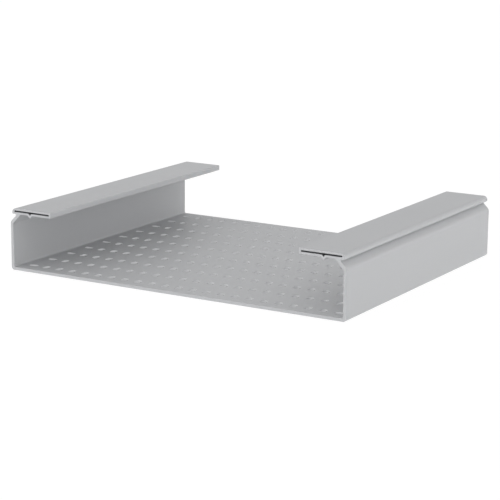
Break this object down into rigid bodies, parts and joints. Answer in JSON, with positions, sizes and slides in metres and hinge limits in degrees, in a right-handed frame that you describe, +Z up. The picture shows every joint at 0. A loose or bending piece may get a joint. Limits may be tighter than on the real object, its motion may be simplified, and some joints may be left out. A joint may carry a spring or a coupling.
{
  "type": "perforated cable tray",
  "caption": "Shallow U-shaped cable tray in one plastic profile, with a base full of slots, slanted shoulders and wide hollow flanges turned in over both walls.",
  "frame": {"origin": "middle of the underside of the base", "axes": "+X across the tray from its left wall to its right wall, +Y along the tray, +Z up out of its open side"},
  "size_m": [0.6, 0.5, 0.1],
  "materials": {
    "rigid_plastic": "light grey unplasticised PVC, extruded, smooth and matt"
  },
  "bodies": {
    "root": {"perforated_tray": "rigid_plastic"}
  },
  "joints": []
}
